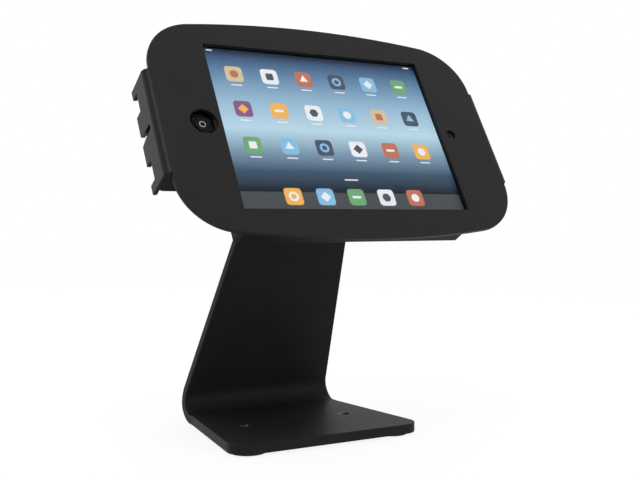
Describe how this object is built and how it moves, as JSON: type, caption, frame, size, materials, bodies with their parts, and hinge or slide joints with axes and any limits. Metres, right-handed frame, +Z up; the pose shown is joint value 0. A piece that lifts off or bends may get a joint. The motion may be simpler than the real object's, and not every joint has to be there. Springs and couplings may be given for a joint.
{
  "type": "tablet security kiosk stand",
  "caption": "Counter-top kiosk stand: a locked steel tablet enclosure with a curved-outline cover on a tilt and swivel head, carried by a bent and tapered steel plate.",
  "frame": {"origin": "bottom centre of the bounding box, on the surface that the rubber feet rest on", "axes": "+Z up, the screen faces -Y and leans back, +X is the viewer's right"},
  "size_m": [0.302, 0.2036, 0.3365],
  "materials": {
    "stand_coat": "satin",
    "cover_coat": "satin",
    "tray_coat": "satin",
    "bracket_coat": "satin",
    "knuckle_coat": "satin",
    "plate_coat": "satin",
    "feet_rubber": "matte",
    "sleeve_rubber": "matte",
    "grommet_rubber": "matte",
    "pad_foam": "matte",
    "gasket_foam": "matte",
    "black_fastener": "black oxide",
    "zinc_fastener": "zinc plated",
    "spring_steel": "ground",
    "friction_lining": "matte",
    "lock_chrome": "polished",
    "lock_steel": "brushed",
    "front_glass": "polished",
    "tablet_metal": "bead blasted",
    "display_face": "lit",
    "button_black": "gloss",
    "switch_plastic": "matte",
    "camera_black": "gloss",
    "battery_film": "matte",
    "board_green": "satin",
    "socket_steel": "brushed"
  },
  "bodies": {
    "stand": {"stand_plate": "stand_coat", "rubber_feet": "feet_rubber", "hinge_bracket": "bracket_coat", "bracket_bolts": "black_fastener", "hinge_bolt": "black_fastener", "hinge_nut": "zinc_fastener", "hinge_washers": "zinc_fastener", "friction_discs": "friction_lining"},
    "tilt_head": {"tilt_knuckle": "knuckle_coat", "swivel_bolt": "black_fastener", "thrust_washer": "zinc_fastener", "disc_spring": "spring_steel", "friction_washer": "friction_lining", "stop_pin": "zinc_fastener"},
    "enclosure": {"swivel_plate": "plate_coat", "swivel_screws": "zinc_fastener", "face_cover": "cover_coat", "cover_gasket": "gasket_foam", "cover_standoffs": "zinc_fastener", "standoff_sleeves": "sleeve_rubber", "security_screws": "black_fastener", "rear_tray": "tray_coat", "tray_grommet": "grommet_rubber", "foam_pads": "pad_foam", "lock_housing": "lock_chrome", "lock_nut": "zinc_fastener", "lock_keeper": "lock_steel", "tablet_shell": "tablet_metal", "charge_socket": "socket_steel", "tablet_glass": "front_glass", "display_panel": "display_face", "home_switch": "switch_plastic", "camera_module": "camera_black", "battery_cells": "battery_film", "logic_board": "board_green"},
    "lock_cylinder": {"lock_plug": "lock_chrome", "lock_cam": "lock_steel", "cam_screw": "zinc_fastener"},
    "button": {"home_button": "button_black"}
  },
  "joints": [
    {"name": "head_tilt", "type": "hinge", "parent": "stand", "child": "tilt_head", "pos_m": [0, -0.01157, 0.22797], "axis": [-1, 0, 0], "range_deg": [-30, 29]},
    {"name": "screen_swivel", "type": "hinge", "parent": "tilt_head", "child": "enclosure", "pos_m": [0, -0.05104, 0.2516], "axis": [0, -0.8581, 0.5135], "range_deg": [-90, 90]},
    {"name": "lock_turn", "type": "hinge", "parent": "enclosure", "child": "lock_cylinder", "pos_m": [0.1315, -0.02719, 0.23732], "axis": [0, 0.8581, -0.5135], "range_deg": [0, 90]},
    {"name": "home_button_press", "type": "slide", "parent": "enclosure", "child": "button", "axis": [0, 0.8581, -0.5135], "range_m": [0, 0.00045], "stiffness_N_per_m": 2000}
  ]
}
